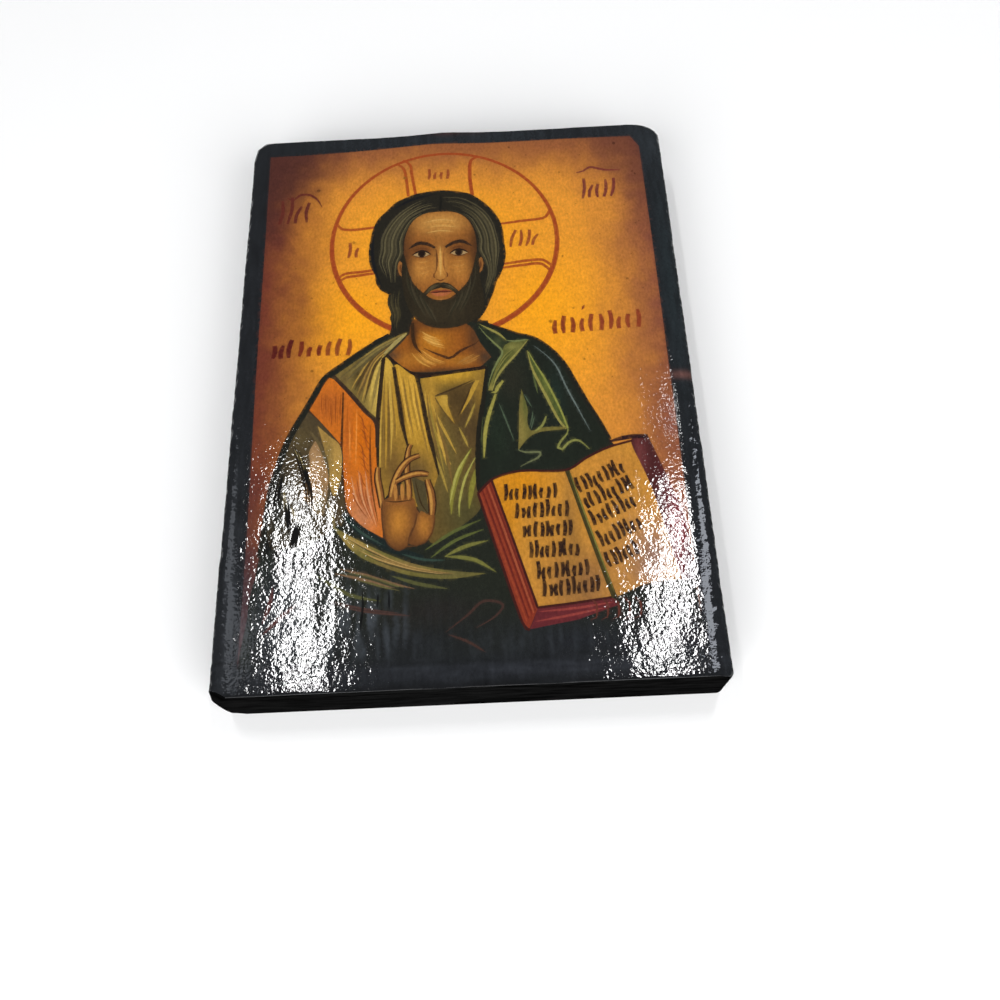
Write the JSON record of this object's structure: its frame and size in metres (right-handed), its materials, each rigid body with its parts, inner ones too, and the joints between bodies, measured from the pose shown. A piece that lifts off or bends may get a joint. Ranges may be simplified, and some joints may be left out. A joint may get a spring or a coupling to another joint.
{
  "type": "icon panel",
  "caption": "Small hand-cut wooden icon panel with rubbed front edges and knocked-off corners, painted on its face, lying on its back.",
  "frame": {"origin": "centre of the board's footprint, on its flat back", "axes": "+Z out of the painted face, +Y towards the head of the picture, +X to the right of the picture"},
  "size_m": [0.0936, 0.1286, 0.0145],
  "materials": {
    "painted_wood": "black paint and a coloured picture under a thick gloss varnish"
  },
  "bodies": {
    "root": {"wooden_board": "painted_wood"}
  },
  "joints": []
}
